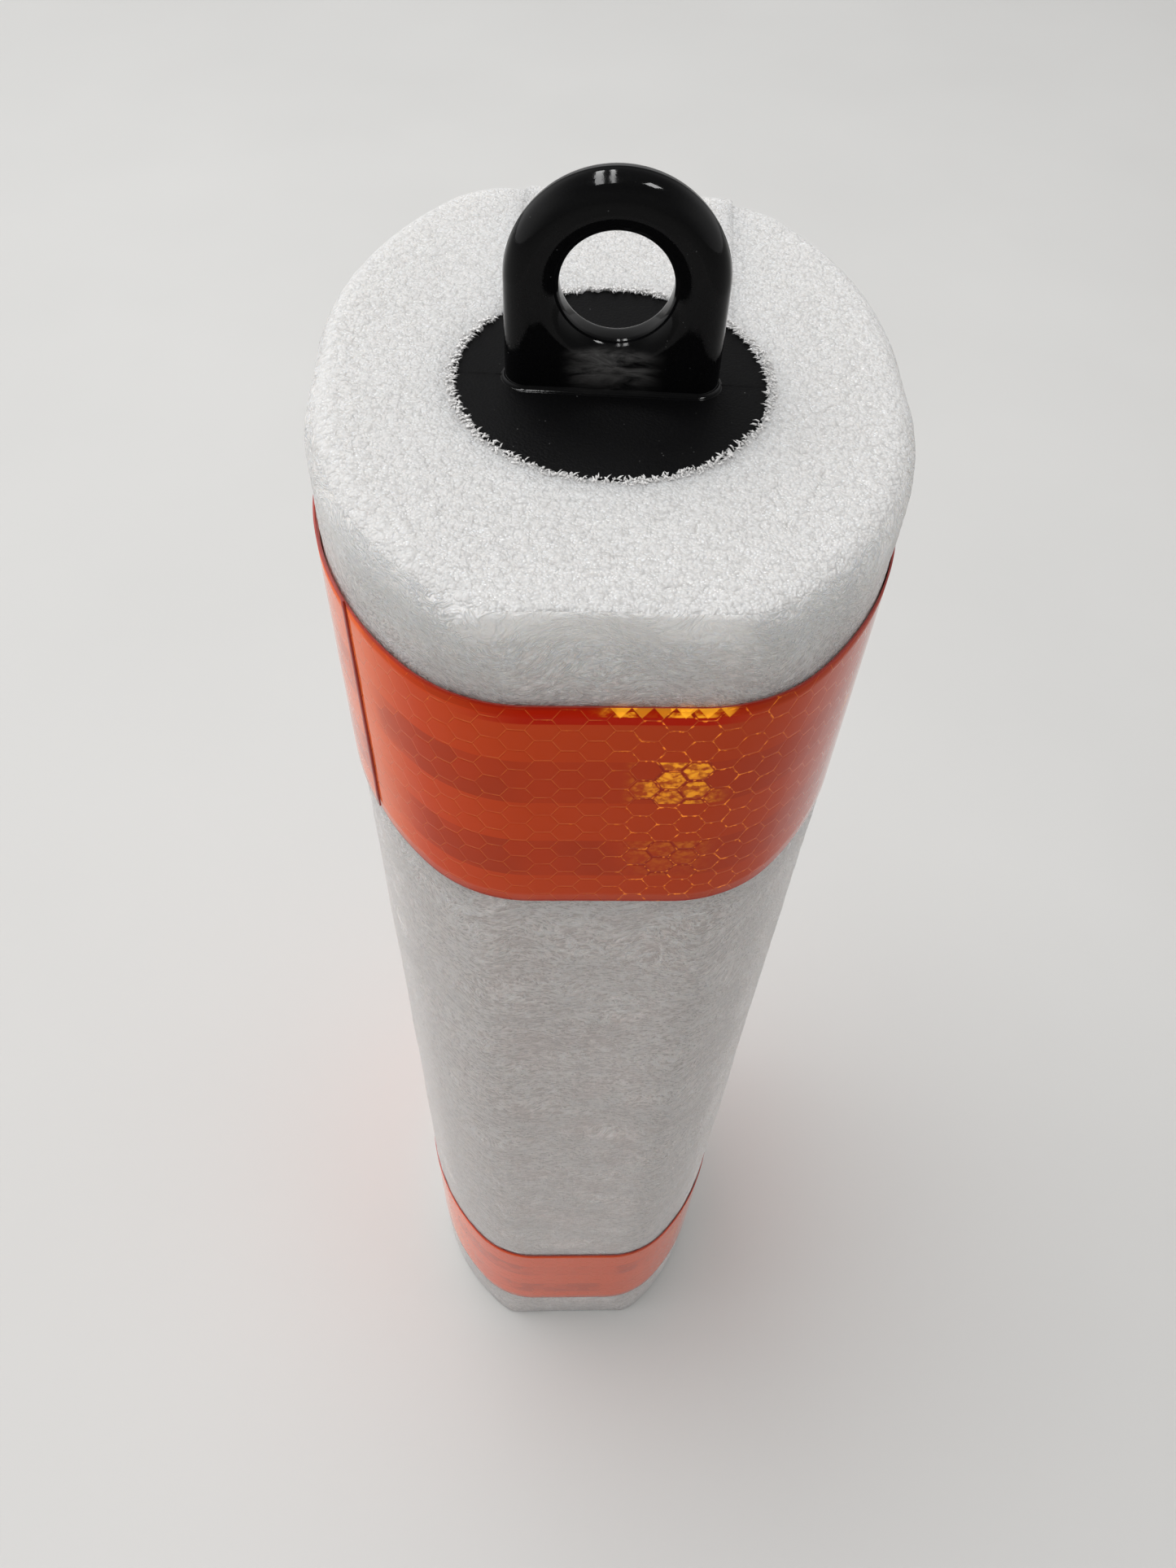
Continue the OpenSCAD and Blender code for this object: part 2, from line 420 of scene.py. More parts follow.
def placed(name, mesh, finishes):
    """Turns a built mesh into an object of the scene with its materials."""
    data = bpy.data.meshes.new(name)
    mesh.to_mesh(data)
    mesh.free()
    for finish in finishes:
        data.materials.append(finish)
    piece = bpy.data.objects.new(name, data)
    scene.collection.objects.link(piece)
    return piece


TOP_ROWS = 46
EDGE_ROWS = 9
BOTTOM_ROWS = 12


def foam_columns(outer, inner, skinned, edge_of, corner_of):
    """Loops of a foam piece: up the outside, over the sawn top to the bore and back."""
    rows = skin_rows()
    columns = []
    for (ox, oy, facing), (ix, iy) in zip(outer, inner):
        out = Vector((math.cos(facing), math.sin(facing), 0))
        start, end = Vector((ox, oy, 0)), Vector((ix, iy, 0))
        inward = (end - start).normalized()
        wide = (end - start).length
        edge = edge_of(start)
        corner = corner_of(start)
        pull = squeeze(*turned(ox, oy, -SLEEVE_TURN)) if skinned else 0.0
        loop = []
        for z in rows:
            p = start + Vector((0, 0, z)) + inward * pull * pressed(z, 9 * MM)
            fullness = held((FOAM_TOP - z) / (12 * MM))
            rise = skin_height(p, fullness, corner) if skinned else cut_height(p)
            loop.append((p + out * rise, SKIN))
        for part in range(EDGE_ROWS + 1):
            turn = math.pi / 2 * part / EDGE_ROWS
            p = start + inward * edge * (1 - math.cos(turn))
            p.z = FOAM_TOP - edge * (1 - math.sin(turn))
            rise = cut_height(p) * math.sin(turn)
            skin_rise = skin_height(p, 1.0, corner) if skinned else 0.0
            p = p + out * skin_rise * math.cos(turn) + Vector((0, 0, rise))
            loop.append((p, SKIN if part < EDGE_ROWS * 0.45 else SAWN))
        for part in range(1, TOP_ROWS):
            depth = edge + (wide - edge) * part / TOP_ROWS
            p = start + inward * depth
            p.z = FOAM_TOP
            rise = cut_height(p)
            dip = max(0.0, 1 - (wide - depth) / (3 * MM)) * 0.25 * MM
            loop.append((p + Vector((0, 0, rise - dip)), SAWN))
        shag = (0.15 + 1.5 * abs(noise.noise(Vector((ix, iy, 0)) * 2300))
                + 0.8 * abs(noise.noise(Vector((ix, iy, 1)) * 260))) * 1.2 * MM
        centre = -Vector((ix, iy, 0)).normalized()
        for reach, z in ((0.55 * shag, -0.20 * MM), (shag, -0.33 * MM), (shag * 0.9, -0.45 * MM),
                         (-0.05 * MM, -0.47 * MM)):
            loop.append((end + centre * reach + Vector((0, 0, FOAM_TOP + z)), SAWN))
        for z in (FOAM_TOP - 20 * MM, FOAM_TOP / 2, 0.6 * MM, 0.0):
            loop.append((end - centre * 0.05 * MM + Vector((0, 0, z)), SAWN))
        for part in range(1, BOTTOM_ROWS):
            p = end + (start - end) * part / BOTTOM_ROWS
            loop.append((p + Vector((0, 0, max(0.0, cut_height(p)))), SAWN))
        loop.append((start + inward * 0.8 * MM, SAWN))
        loop.append((start + inward * 0.15 * MM + Vector((0, 0, 0.25 * MM)), SAWN))
        columns.append(loop)
    return columns


def tufts(mesh, centre_angle, half_span, count, seed):
    """Torn threads of foam round the bore, each a thin closed spike over the plug."""
    draw = random.Random(seed)
    for _ in range(count):
        angle = centre_angle + half_span * draw.uniform(-1, 1)
        root = Vector((math.cos(angle), math.sin(angle), 0))
        base = root * (BORE - draw.uniform(-0.6, 0.9) * MM)
        base.z = FOAM_TOP - draw.uniform(0.05, 0.3) * MM
        lean = angle + math.pi + draw.gauss(0, 0.7)
        long = draw.uniform(0.4, 1.3) * MM * draw.uniform(0.5, 1.1)
        tip = base + Vector((math.cos(lean), math.sin(lean), draw.uniform(-0.1, 0.25))) * long
        tip.z = max(tip.z, FOAM_TOP - 0.42 * MM)
        thick = draw.uniform(0.08, 0.22) * MM
        side = Vector((-math.sin(lean), math.cos(lean), 0)) * thick
        corners = [base + side, base - side, base + Vector((0, 0, 1.4 * thick))]
        bend = (base + tip) / 2 + Vector((0, 0, draw.uniform(0.0, 0.2) * long))
        middle = [bend + (corner - base) * 0.7 for corner in corners]
        lower = [mesh.verts.new(corner) for corner in corners]
        upper = [mesh.verts.new(corner) for corner in middle]
        point = mesh.verts.new(tip)
        made = [mesh.faces.new(lower)]
        for i in range(3):
            j = (i + 1) % 3
            made.append(mesh.faces.new((lower[i], lower[j], upper[j], upper[i])))
            made.append(mesh.faces.new((upper[i], upper[j], point)))
        for face in made:
            face.material_index = FRAYED
            face.smooth = True


def add_tufts(piece, centre_angle, half_span, count, seed):
    """Adds torn threads to a foam piece that is already in the scene."""
    mesh = bmesh.new()
    mesh.from_mesh(piece.data)
    old = len(mesh.faces)
    tufts(mesh, centre_angle, half_span, count, seed)
    mesh.faces.ensure_lookup_table()
    bmesh.ops.recalc_face_normals(mesh, faces=mesh.faces[old:])
    mesh.to_mesh(piece.data)
    mesh.free()


def in_key(x, y):
    """A point in the turned frame of the strip at the back."""
    return turned(x, y, -KEY_TURN)


def sleeve_line():
    """The sleeve's outside from one wall of its open back round to the other."""
    line = belt(sleeve_ring, 1.1 * MM)
    outside = [p for p in line if not (abs(in_key(*p[:2])[0]) < KEY_HALF and p[1] > 0)]
    outside.sort(key=lambda p: (math.atan2(p[1], p[0]) + 1.5 * math.pi) % math.tau)
    ends = []
    for side, near in ((-1, outside[0]), (1, outside[-1])):
        ky = in_key(*near[:2])[1]
        ends.append((*turned(side * (KEY_HALF - 0.03 * MM), ky, KEY_TURN), near[2]))
    return [ends[0], *outside, ends[1]]


tight_wrap = [(math.atan2(y, x), math.hypot(x, y)) for x, y, _ in belt(wrap_ring, 0.8 * MM)]
outside = sleeve_line()
slot_angle = math.asin(KEY_HALF / BORE)
inside = []
first = math.atan2(outside[0][1], outside[0][0]) % math.tau
last = math.atan2(outside[-1][1], outside[-1][0]) + math.tau
inner_first = math.pi / 2 + KEY_TURN + slot_angle
inner_last = math.pi / 2 + KEY_TURN - slot_angle + math.tau
for x, y, facing in outside:
    share = ((math.atan2(y, x) - first) % math.tau) / (last - first)
    angle = inner_first + (inner_last - inner_first) * share
    inside.append((BORE * math.cos(angle), BORE * math.sin(angle)))
outside = [(*turned(x, y, SLEEVE_TURN), facing + SLEEVE_TURN) for x, y, facing in outside]
inside = [turned(x, y, SLEEVE_TURN) for x, y in inside]
ridge_places = [Vector((*turned(*ridge[:2], SLEEVE_TURN), 0)) for ridge in RIDGES]


def sleeve_edge(p):
    """Radius of the worn top edge: crisp across the flat front, soft elsewhere."""
    front = held((23 * MM - abs(p.x - 2 * MM)) / (8 * MM)) if p.y < 0 else 0.0
    return (4.6 - 3.5 * front) * MM


def sleeve_corner(p):
    """1 at the ends of the flat front, where the skin folds most."""
    near = min((p - place).length for place in ridge_places)
    return max(0.0, 1 - near / (11 * MM))


foam_sleeve = loft("foam_sleeve_skin", foam_columns(outside, inside, True, sleeve_edge, sleeve_corner),
                   [skin, cut, frayed])
add_tufts(foam_sleeve, -math.pi / 2 + SLEEVE_TURN, math.radians(131), count=900, seed=11)
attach(foam_sleeve, "root")
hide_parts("foam_sleeve")

# ---- Foam key ----------------------------------------------------------------
# A strip sawn from the same foam, pushed into the open back of the sleeve and
# held there by the tapes. All its faces are sawn, so it has no skin.
KEY_ANGLE = SLEEVE_TURN + KEY_TURN
STRIP_PARTS = 40
strip_outer, strip_inner = [], []
for part in range(STRIP_PARTS + 1):
    x = (KEY_HALF + 0.02 * MM) * math.cos(math.pi * part / STRIP_PARTS)
    if abs(x) < KEY_HALF * 0.97:
        x = KEY_HALF * (1 - 2 * part / STRIP_PARTS)
    drop = max(0.0, abs(x) - (KEY_HALF - MM))
    face = KEY_FACE - (MM - math.sqrt(max(0.0, MM ** 2 - drop ** 2)))
    lean = math.asin(min(1.0, drop / MM)) * (-1 if x > 0 else 1)
    strip_outer.append((*turned(x, face, KEY_ANGLE), math.pi / 2 + lean + KEY_ANGLE))
    strip_inner.append(turned(x, math.sqrt(BORE ** 2 - x ** 2), KEY_ANGLE))

foam_key = loft("foam_key_strip",
                foam_columns(strip_outer, strip_inner, False, lambda p: 4.2 * MM, lambda p: 0.0),
                [cut, cut, frayed])
add_tufts(foam_key, math.pi / 2 + KEY_ANGLE, math.radians(47), count=330, seed=12)
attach(foam_key, "root")
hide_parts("foam_key")

# ---- Core tube ---------------------------------------------------------------
# A length of plain grey extruded pipe that carries the load. The foam grips its
# outside, and a plug is pressed into each end.


def pipe_finish():
    """Grey pipe with faint streaks along it from the extruder."""
    material, start, shader = finish_of("pipe_grey", Specular_IOR_Level=0.5)
    place = start.place()
    streaks = place.scaled(900, 900, 12).noise(1, 2)
    feed(start, shader,
         Base_Color=streaks.tint(rgb(0.30, 0.31, 0.32), rgb(0.42, 0.43, 0.44)),
         Roughness=streaks.fade(0.2, 0.8, 0.35, 0.55),
         Normal=streaks.bump(0.05 * MM))
    return material


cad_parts["core_tube"].data.materials.clear()
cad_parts["core_tube"].data.materials.append(pipe_finish())

# ---- Eye plug ----------------------------------------------------------------
# One black polypropylene moulding: an arched eye with full-round edges on a round
# flange, which rests on the tube, and a hollow ribbed spigot inside the tube.
FLANGE_TOP = FOAM_TOP - 0.5 * MM
EYE_RADIUS = 15.75 * MM
EYE_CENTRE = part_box("eye_plug")[1].z - EYE_RADIUS
EYE_FOOT = EYE_CENTRE - FLANGE_TOP + 0.3 * MM
EYE_PARTS = 200
EDGE = 3.5 * MM
EYE_FLAT = EYE_RADIUS - EDGE
HOLE = 8 * MM
MOUTH = 11 * MM
LAND = 1.0 * MM


def moulded_finish(name, scuffed):
    """Black moulded plastic, glossy where the mould was polished, with fine flecks."""
    material, start, shader = finish_of(name, Specular_IOR_Level=0.04 if scuffed else 0.11, IOR=1.49)
    place = start.place()
    grain = place.noise(2400, 3)
    flecks = place.bubbles(900).fade(0.12, 0.05) * place.noise(300, 2).fade(0.56, 0.66)
    smears = place.scaled(60, 60, 420).noise(1, 4, 1.2)
    low = 0.42 if scuffed else 0.04
    rough = smears.fade(0.35, 0.75, low, low + 0.06) + grain * 0.03
    height = grain * (0.9 if scuffed else 0.25) + smears * 0.25 + flecks * 0.5
    black = (grain * 0.6).tint(rgb(0.002, 0.002, 0.0022), rgb(0.007, 0.007, 0.0075))
    black = (flecks * (0.7 if scuffed else 0.25)).tint(black, rgb(0.22, 0.22, 0.22))
    if not scuffed:
        # a worn, scratched patch on the front of the eye, under its hole; its lighter grey is also a
        # painted reflection of the light there
        across, depth, up = place.parts()
        ahead = depth.fade(-1.5 * MM, -2.5 * MM)
        under = up.fade(EYE_CENTRE - 16 * MM, EYE_CENTRE - 11 * MM)
        under = under * up.fade(EYE_CENTRE - 8.2 * MM, EYE_CENTRE - 9.5 * MM)
        under = under * abs(across).fade(8 * MM, 3 * MM)
        scratches = place.scaled(170, 1, 600).noise(1, 5, 0.8, 0.65).fade(0.30, 0.72)
        wear_and_reflection = scratches * under * ahead * place.noise(110, 3).fade(0.25, 0.60)
        black = wear_and_reflection.tint(black, rgb(0.12, 0.117, 0.115))
        rough = rough + wear_and_reflection * 0.3
    feed(start, shader,
         Base_Color=black,
         Roughness=rough,
         Normal=height.bump((0.09 if scuffed else 0.02) * MM))
    return material


gloss_black = moulded_finish("plug_gloss", False)
grained_black = moulded_finish("plug_grained", True)


def lathe(mesh, profile, z, way, parts=128):
    """A closed solid of revolution from a profile that starts and ends on the axis."""
    rings = []
    for radius, height in profile:
        if radius == 0:
            rings.append([mesh.verts.new((0, 0, z + way * height))])
            continue
        rings.append([mesh.verts.new((radius * math.cos(math.tau * i / parts),
                                      radius * math.sin(math.tau * i / parts),
                                      z + way * height)) for i in range(parts)])
    for low, high in zip(rings, rings[1:]):
        for i in range(parts):
            j = (i + 1) % parts
            if len(low) == 1:
                corners = (low[0], high[i], high[j])
            elif len(high) == 1:
                corners = (low[i], low[j], high[0])
            else:
                corners = (low[i], low[j], high[j], high[i])
            mesh.faces.new(corners).smooth = True


def rounded(radius, height, size, start, turn, parts=4):
    """Points of a small round on a profile's corner, as (radius, height) pairs."""
    return [(radius + size * math.cos(math.radians(start + turn * i / parts)),
             height + size * math.sin(math.radians(start + turn * i / parts)))
            for i in range(parts + 1)]


def plug_profile():
    """Section of a plug, from the middle of its outer face to inside its spigot."""
    flange, tube_bore, spigot = 3 * MM, 21 * MM, 20.6 * MM
    length, wall, lead = 24 * MM, 2.5 * MM, 1.2 * MM
    profile = [(0, 0)] + [(r * MM, 0) for r in range(2, 24)]
    profile += rounded(BORE - 0.4 * MM, -0.4 * MM, 0.4 * MM, 90, -90)
    profile += rounded(BORE - 0.25 * MM, -flange + 0.25 * MM, 0.25 * MM, 0, -90)
    profile += [(spigot, -flange)]
    for rib in range(4):
        top = -flange - (5 + 4.5 * rib) * MM
        profile += [(spigot, top), (tube_bore - 0.1 * MM, top - 0.3 * MM),
                    (tube_bore, top - 0.5 * MM), (spigot, top - 1.6 * MM)]
    profile += [(spigot, -flange - length + lead), (spigot - lead, -flange - length),
                (spigot - wall + 0.3 * MM, -flange - length),
                (spigot - wall, -flange - length + 0.3 * MM), (spigot - wall, -flange), (0, -flange)]
    return profile


def eye_depth(x, z):
    """Half thickness of the eye at a point of its face, from the hole's centre."""
    radius = math.hypot(x, z)
    from_edge = EYE_RADIUS - (radius if z > 0 else abs(x))
    depth = EDGE
    if from_edge < EDGE:
        depth = math.sqrt(max(0.0, EDGE ** 2 - (EDGE - from_edge) ** 2))
    if radius < MOUTH:
        inward = min(1.0, (MOUTH - radius) / (MOUTH - HOLE))
        flare = 0.85 * math.sqrt(1 - inward ** 2) + 0.15 * (1 - inward)
        depth = min(depth, LAND + (EDGE - LAND) * flare)
    return depth


def eye_reach(angle):
    """Distance from the hole's centre to the eye's outline in that direction."""
    if math.sin(angle) >= 0:
        return EYE_RADIUS
    side = EYE_RADIUS / max(1e-6, abs(math.cos(angle)))
    foot = EYE_FOOT / abs(math.sin(angle))
    return min(side, foot)


def stitch(mesh, grid, smooth_rows):
    """Faces between neighbouring loops of a ring that closes on itself."""
    size = len(grid[0])
    for here, there in zip(grid, grid[1:] + grid[:1]):
        for row in range(size):
            after = (row + 1) % size
            face = mesh.faces.new((here[row], there[row], there[after], here[after]))
            face.smooth = row in smooth_rows


def eye_mesh(mesh):
    """The eye as loops round the hole, each out over the front and back behind."""
    angles = {round(math.tau * i / EYE_PARTS, 5) for i in range(EYE_PARTS)}
    for part in range(13):
        x = EYE_FLAT + EDGE * math.sin(math.pi / 2 * part / 12)
        angles.add(round(math.atan2(-EYE_FOOT, x) % math.tau, 5))
        angles.add(round(math.atan2(-EYE_FOOT, -x) % math.tau, 5))
    mouth = [HOLE + (MOUTH - HOLE) * (1 - math.cos(math.pi / 2 * i / 8)) for i in range(9)]
    grid = []
    for angle in sorted(angles):
        reach = eye_reach(angle)
        level = 1.0 if math.sin(angle) >= 0 else max(1e-6, abs(math.cos(angle)))
        round_from = EYE_FLAT / level
        if reach > round_from + 1e-6:
            full = math.asin(min(1.0, (reach * level - EYE_FLAT) / EDGE))
            radii = [MOUTH + (round_from - MOUTH) * i / 8 for i in range(1, 9)]
            radii += [(EYE_FLAT + EDGE * math.sin(full * i / 12)) / level for i in range(1, 12)]
            radii += [(EYE_FLAT + EDGE * math.sin(full * 0.975)) / level, reach]
        else:
            radii = [MOUTH + (reach - MOUTH) * i / 21 for i in range(1, 22)]
        front = []
        for radius in mouth + radii:
            x, z = radius * math.cos(angle), radius * math.sin(angle)
            front.append((x, eye_depth(x, z), z))
        x, y, z = front[-1]
        if y < 0.01 * MM:  # the mould's parting line stands a hair proud
            front[-1] = (x * 1.003, 0.0, z * (1.003 if z > 0 else 1.0))
        loop = [(x, -y, z) for x, y, z in front] + [(x, y, z) for x, y, z in reversed(front)]
        grid.append([mesh.verts.new((x, y, z + EYE_CENTRE)) for x, y, z in loop])
    stitch(mesh, grid, range(len(grid[0])))


def foot_fillet(mesh, size):
    """A small hollow round along the joint of the eye and the flange."""
    path = [(side * EYE_FLAT, math.pi * part / 24 - side * math.pi / 2)
            for side in (1, -1) for part in range(25)]
    section = [(-0.3 * MM, size), (0.0, size)]
    section += [(size - size * math.cos(turn), size - size * math.sin(turn))
                for turn in (math.radians(15 * i) for i in range(1, 7))]
    section += [(size, -0.1 * MM), (-0.3 * MM, -0.1 * MM)]
    grid = []
    for x, facing in path:
        grid.append([mesh.verts.new((x + (EDGE + out) * math.cos(facing),
                                     (EDGE + out) * math.sin(facing), FLANGE_TOP + up))
                     for out, up in section])
    stitch(mesh, grid, range(1, 7))


def parting_bead(mesh):
    """The fine bead that the mould's joint leaves across the flange."""
    for side in (-1, 1):
        ends = []
        for x in (EYE_RADIUS - MM, BORE - 0.6 * MM):
            ends.append([mesh.verts.new((side * x, y, FLANGE_TOP + z))
                         for y, z in ((-0.16 * MM, -0.05 * MM), (0, 0.09 * MM), (0.16 * MM, -0.05 * MM))])
        near, far = ends
        mesh.faces.new(near)
        mesh.faces.new(far[::-1])
        for i in range(3):
            j = (i + 1) % 3
            mesh.faces.new((near[i], far[i], far[j], near[j]))


mesh = bmesh.new()
lathe(mesh, plug_profile(), FLANGE_TOP, 1)
parting_bead(mesh)
for face in mesh.faces:
    face.material_index = 1
eye_mesh(mesh)
foot_fillet(mesh, 0.7 * MM)
bmesh.ops.remove_doubles(mesh, verts=mesh.verts, dist=0.002 * MM)
bmesh.ops.recalc_face_normals(mesh, faces=mesh.faces)
eye_plug = placed("eye_plug_moulding", mesh, [gloss_black, grained_black])
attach(eye_plug, "root")
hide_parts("eye_plug")

# ---- Base plug ---------------------------------------------------------------
# The same flange and spigot without an eye, pressed into the foot of the tube so
# that the post stands flat.
mesh = bmesh.new()
lathe(mesh, plug_profile(), 0, -1)
bmesh.ops.recalc_face_normals(mesh, faces=mesh.faces)
base_plug = placed("base_plug_moulding", mesh, [grained_black])
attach(base_plug, "root")
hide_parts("base_plug")

# ---- Tape bands --------------------------------------------------------------
# Orange prismatic reflective tape: a clear glossy film over tiny prisms, sealed in
# a honeycomb. Each is one strip wrapped once round the foam, lapped on its start.
TAPE_WIDE = 50 * MM
TAPE_THICK = 0.28 * MM


def tape_finish():
    """Colour and gloss of the tape, laid out along (metres) and up it by its UVs."""
    material, start, shader = finish_of(
        "tape_orange", Specular_IOR_Level=0.04, Coat_Roughness=0.05, Coat_IOR=1.33,
        Emission_Strength=1.0)
    # lengths in this finish are in millimetres
    place = start.node("TexCoord", {}, {}, 2).scaled(1000, 1000, 0)
    along, up, _ = place.parts()
    # honeycomb of cells 4.5 mm tall, in two staggered lattices
    wide, tall = 7.5, 4.5
    half_wide, half_tall = wide / 2, tall / 2
    steep, slant = 0.866, 0.5
    ax = along % wide - half_wide
    ay = up % tall - half_tall
    bx = (along + half_wide) % wide - half_wide
    by = (up + half_tall) % tall - half_tall
    first = (ax * ax + ay * ay).below(bx * bx + by * by)
    x = abs(first * ax + (1 - first) * bx)
    y = abs(first * ay + (1 - first) * by)
    cell_x = along - (first * ax + (1 - first) * bx)
    cell_up = up - (first * ay + (1 - first) * by)
    to_edge = half_tall - y.most(x * steep + y * slant)
    line = to_edge.fade(0.26, 0.10) * place.noise(0.55, 2).fade(0.30, 0.58, 0.15, 1.0)
    cell = start.node("CombineXYZ", {}, {0: cell_x, 1: cell_up})
    chance = cell.noise(3.1, 0)
    where = start.place().scaled(1000, 1000, 1000)
    across, depth, level = where.parts()
    front = depth.fade(-20, -40) * level.fade(100, 150)
    lower_side = (cell_up - up).fade(-0.2, 0.2)
    # every other 10 mm of the prisms is turned, and throws the light elsewhere; the zones are painted in
    # two slightly different oranges for it
    zone = ((up + 12) % 20).fade(10.1, 9.9)
    spokes = abs(x * slant - y * steep).fade(0.34, 0.12)
    # gold light that the prisms throw back: painted highlights at the front of the upper band, and stray
    # ones round both bands
    aim = abs(across - 12.5 + up.fade(40, 49) * 3).fade(up.fade(40, 48, 8.5, 11.0), 2.5) * front
    wander = place.scaled(0.045, 0.02, 1).noise(1, 1)
    stray = wander.fade(0.62, 0.72) * chance.fade(0.40, 0.55) * 0.35
    glow = (aim * up.fade(8, 47, 0.06, 1.0)).most(stray) * zone * chance.fade(0.30, 0.42)
    cloudy = place.noise(0.8, 2).fade(0.36, 0.64, 0.10, 1.0)
    cells = to_edge.fade(0.22, 0.50) * (1 - spokes * 0.45)
    glow = glow * cells * cloudy
    # painted shade: blotches of whole cells, darker where the prisms throw the light away
    dark = wander.fade(0.50, 0.40).most(abs(across + 19).fade(12, 5) * front) * zone
    dark = dark.most(abs(across - 27).fade(9, 4) * front * zone)
    # painted reflection: a deep red strip under the upper band's top edge at the front, with less gloss,
    # where the film mirrors only dark
    dark_reflection_strip = up.fade(46.2, 46.5) * across.fade(-22, -8) * across.fade(26, 14) * front
    # painted glints: bright flecks along the seal lines, most at the front of the upper band
    spark = place.noise(1.1, 2).fade(0.50, 0.62) * line * abs(across - 15).fade(15, 4) * front * 1.6
    spark = spark.most(place.noise(1.3, 2).fade(0.64, 0.74) * line * 0.5)
    # painted light too: less to the right, more at the left edge and on the lower band
    away = across.fade(-30, 42, 0.0, 0.52)
    base = zone.tint(rgb(0.69, 0.064, 0.007), rgb(0.62, 0.053, 0.007))
    base = away.tint(base, rgb(0.30, 0.030, 0.004))
    base = (across.fade(-25, -38) * 0.85).tint(base, rgb(0.98, 0.16, 0.016))
    base = (level.fade(150, 100) * 0.5).tint(base, rgb(0.95, 0.12, 0.012))
    base = (dark * chance.fade(0.35, 0.60, 0.15, 0.55)).tint(base, rgb(0.44, 0.042, 0.008))
    base = (dark_reflection_strip * 0.95).tint(base, rgb(0.56, 0.012, 0.000))
    # painted light and shade: the seal lines are lighter on their lower side and darker on their upper,
    # as if embossed and lit from above
    base = (line * lower_side * 0.42).tint(base, rgb(1.0, 0.26, 0.05))
    base = (line * (1 - lower_side) * 0.40).tint(base, rgb(0.40, 0.018, 0.003))
    base = (glow * 1.2).least(1.0).tint(base, rgb(1.0, 0.40, 0.015))
    # painted shade: the edges of the painted gold cells are darker
    base = (aim * zone * (1 - to_edge.fade(0.14, 0.38)) * 0.8).tint(base, rgb(0.36, 0.02, 0.004))
    # the tape's top and bottom edges are darker: partly its sealed edge, partly painted shade
    end = (abs(up - 25) - 24.2).fade(0.0, 0.5)
    base = (end * 0.7).tint(base, rgb(0.42, 0.015, 0.004))
    # painted highlights: gold teeth along the upper band's top edge at the front
    teeth = (up - 47.8 - abs(along % 3.0 - 1.5) * 1.5).fade(-0.1, 0.2) * front
    teeth = teeth * across.fade(0, 3) * across.fade(20, 17) * chance.fade(0.30, 0.5, 0.5, 1.0)
    base = teeth.tint(base, rgb(1.0, 0.42, 0.02))
    # the painted glints, sparks and teeth also glow, though the tape is no lamp
    light = (glow * 0.38 + spark * 0.30 + teeth * 0.28).tint(rgb(0, 0, 0), rgb(1.0, 0.36, 0.02))
    coat = abs(across).fade(24, 42, 0.22, 0.90).most(level.fade(150, 100, 0.0, 0.75))
    feed(start, shader, Base_Color=base,
         Roughness=line.fade(0, 1, 0.40, 0.22),
         Coat_Weight=coat * (1 - dark_reflection_strip * 0.7),
         Emission_Color=light,
         Normal=(to_edge.fade(0.0, 0.45) + place.noise(0.12, 1) * 2.0).bump(0.03 * MM))
    return material


def seam_finish():
    """The tape's cut and sealed end: bare dark red film."""
    material, start, shader = finish_of("tape_end", Coat_Weight=0.6, Coat_Roughness=0.1)
    place = start.place()
    grain = place.noise(900, 2)
    feed(start, shader,
         Base_Color=grain.tint(rgb(0.33, 0.012, 0.003), rgb(0.45, 0.025, 0.008)),
         Roughness=grain.fade(0.2, 0.8, 0.3, 0.5),
         Normal=grain.bump(0.03 * MM))
    return material


tape = tape_finish()
tape_end = seam_finish()
wrap = belt(wrap_ring, 1.2 * MM)
lengths = [0.0]
for here, there in zip(wrap, wrap[1:] + wrap[:1]):
    lengths.append(lengths[-1] + math.dist(here[:2], there[:2]))
ROUND = lengths[-1]


def on_wrap(length):
    """Point and facing direction at that length along the line round the foam."""
    length %= ROUND
    i = min(bisect_right(lengths, length) - 1, len(wrap) - 1)
    here, there = wrap[i], wrap[(i + 1) % len(wrap)]
    share = (length - lengths[i]) / (lengths[i + 1] - lengths[i])
    swing = (there[2] - here[2] + math.pi) % math.tau - math.pi
    return (here[0] + (there[0] - here[0]) * share, here[1] + (there[1] - here[1]) * share,
            here[2] + swing * share)


def length_at(circle, angle):
    """Length along the line at which it passes that direction of a circle."""
    x, y = circle[0] + circle[2] * math.cos(angle), circle[1] + circle[2] * math.sin(angle)
    return lengths[min(range(len(wrap)), key=lambda i: math.dist(wrap[i][:2], (x, y)))]


